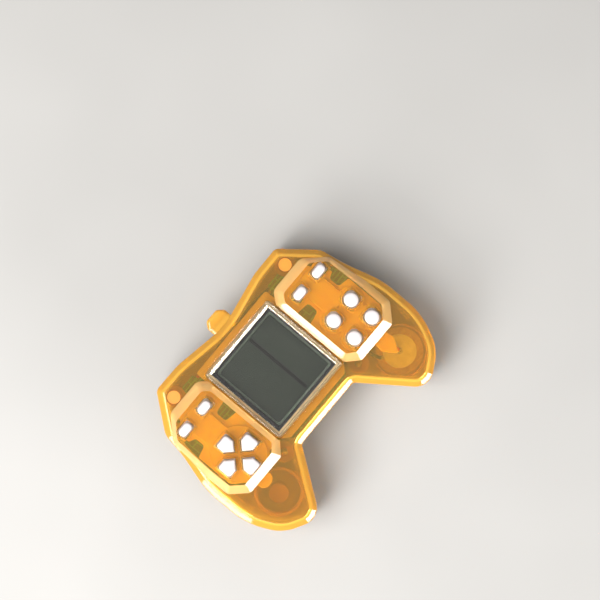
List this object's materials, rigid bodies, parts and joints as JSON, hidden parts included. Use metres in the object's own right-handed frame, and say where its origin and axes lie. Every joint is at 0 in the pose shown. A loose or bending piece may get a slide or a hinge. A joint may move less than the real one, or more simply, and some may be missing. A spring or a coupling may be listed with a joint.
{
  "type": "handheld lcd game",
  "caption": "Keyring-size handheld LCD game in a clear orange gamepad case with two grips, a square screen, white direction, round and pill keys, and a keyring lug.",
  "frame": {"origin": "centre of the footprint on the back face, on the surface the game lies on", "axes": "+X to the player's right, +Y towards the keyring lug, +Z out of the screen"},
  "size_m": [0.062, 0.0472, 0.0155],
  "materials": {
    "clear_orange_plastic": "polished clear orange ABS or styrene mouldings",
    "clear_acrylic": "colourless polished acrylic",
    "black_plastic": "black moulded frame",
    "pale_nylon": "pale cream moulded frame",
    "polariser_film": "grey-green polariser film over a blank display",
    "display_glass": "thin display glass",
    "silver_foil": "brushed silver reflector film",
    "contact_rubber": "striped conductive rubber strip",
    "green_board": "solder-masked fibreglass board",
    "black_epoxy": "poured epoxy dome",
    "capacitor_sleeve": "shrink sleeve",
    "resistor_clay": "lacquered resistor body",
    "brass_sheet": "rolled brass disc",
    "white_ceramic": "fired ceramic with a thin silver coat",
    "nickel_plate": "nickel-plated cell can",
    "spring_steel": "plated spring strip",
    "orange_silicone": "moulded saturated orange silicone",
    "white_key_plastic": "white moulded keys, satin tops",
    "screw_steel": "zinc-plated screws",
    "red_wire_sleeve": "red PVC sleeve",
    "black_wire_sleeve": "black PVC sleeve"
  },
  "bodies": {
    "case": {"front_shell": "clear_orange_plastic", "rear_shell": "clear_orange_plastic", "battery_door": "clear_orange_plastic", "screen_window": "clear_acrylic", "screen_gasket": "black_plastic", "screen_holder": "pale_nylon", "lcd_polariser": "polariser_film", "lcd_front_glass": "display_glass", "lcd_rear_glass": "display_glass", "lcd_reflector": "silver_foil", "zebra_strip": "contact_rubber", "main_board": "green_board", "chip_blob": "black_epoxy", "board_capacitor": "capacitor_sleeve", "board_resistor": "resistor_clay", "buzzer_disc": "brass_sheet", "buzzer_ceramic": "white_ceramic", "battery_cell_left": "nickel_plate", "battery_cell_right": "nickel_plate", "battery_contact_negative": "spring_steel", "battery_contact_positive": "spring_steel", "battery_bridge": "spring_steel", "left_key_mat": "orange_silicone", "right_key_mat": "orange_silicone", "case_screw_top_left": "screw_steel", "case_screw_top_right": "screw_steel", "case_screw_bottom_left": "screw_steel", "case_screw_bottom_right": "screw_steel", "battery_door_screw": "screw_steel", "battery_wire_red": "red_wire_sleeve", "battery_wire_black": "black_wire_sleeve", "buzzer_wire_red": "red_wire_sleeve", "buzzer_wire_black": "black_wire_sleeve"},
    "up_key_body": {"up_key": "white_key_plastic"},
    "left_key_body": {"left_key": "white_key_plastic"},
    "down_key_body": {"down_key": "white_key_plastic"},
    "right_key_body": {"right_key": "white_key_plastic"},
    "round_key_upper_left_body": {"round_key_upper_left": "white_key_plastic"},
    "round_key_upper_right_body": {"round_key_upper_right": "white_key_plastic"},
    "round_key_lower_left_body": {"round_key_lower_left": "white_key_plastic"},
    "round_key_lower_right_body": {"round_key_lower_right": "white_key_plastic"},
    "left_pill_key_outer_body": {"left_pill_key_outer": "white_key_plastic"},
    "left_pill_key_inner_body": {"left_pill_key_inner": "white_key_plastic"},
    "right_pill_key_inner_body": {"right_pill_key_inner": "white_key_plastic"},
    "right_pill_key_outer_body": {"right_pill_key_outer": "white_key_plastic"}
  },
  "joints": [
    {"name": "up_key_press", "type": "slide", "parent": "case", "child": "up_key_body", "axis": [0, 0, -1], "range_m": [0, 0.0008], "stiffness_N_per_m": 250},
    {"name": "left_key_press", "type": "slide", "parent": "case", "child": "left_key_body", "axis": [0, 0, -1], "range_m": [0, 0.0008], "stiffness_N_per_m": 250},
    {"name": "down_key_press", "type": "slide", "parent": "case", "child": "down_key_body", "axis": [0, 0, -1], "range_m": [0, 0.0008], "stiffness_N_per_m": 250},
    {"name": "right_key_press", "type": "slide", "parent": "case", "child": "right_key_body", "axis": [0, 0, -1], "range_m": [0, 0.0008], "stiffness_N_per_m": 250},
    {"name": "round_key_upper_left_press", "type": "slide", "parent": "case", "child": "round_key_upper_left_body", "axis": [0, 0, -1], "range_m": [0, 0.0008], "stiffness_N_per_m": 250},
    {"name": "round_key_upper_right_press", "type": "slide", "parent": "case", "child": "round_key_upper_right_body", "axis": [0, 0, -1], "range_m": [0, 0.0008], "stiffness_N_per_m": 250},
    {"name": "round_key_lower_left_press", "type": "slide", "parent": "case", "child": "round_key_lower_left_body", "axis": [0, 0, -1], "range_m": [0, 0.0008], "stiffness_N_per_m": 250},
    {"name": "round_key_lower_right_press", "type": "slide", "parent": "case", "child": "round_key_lower_right_body", "axis": [0, 0, -1], "range_m": [0, 0.0008], "stiffness_N_per_m": 250},
    {"name": "left_pill_key_outer_press", "type": "slide", "parent": "case", "child": "left_pill_key_outer_body", "axis": [0, 0, -1], "range_m": [0, 0.0008], "stiffness_N_per_m": 250},
    {"name": "left_pill_key_inner_press", "type": "slide", "parent": "case", "child": "left_pill_key_inner_body", "axis": [0, 0, -1], "range_m": [0, 0.0008], "stiffness_N_per_m": 250},
    {"name": "right_pill_key_inner_press", "type": "slide", "parent": "case", "child": "right_pill_key_inner_body", "axis": [0, 0, -1], "range_m": [0, 0.0008], "stiffness_N_per_m": 250},
    {"name": "right_pill_key_outer_press", "type": "slide", "parent": "case", "child": "right_pill_key_outer_body", "axis": [0, 0, -1], "range_m": [0, 0.0008], "stiffness_N_per_m": 250}
  ]
}
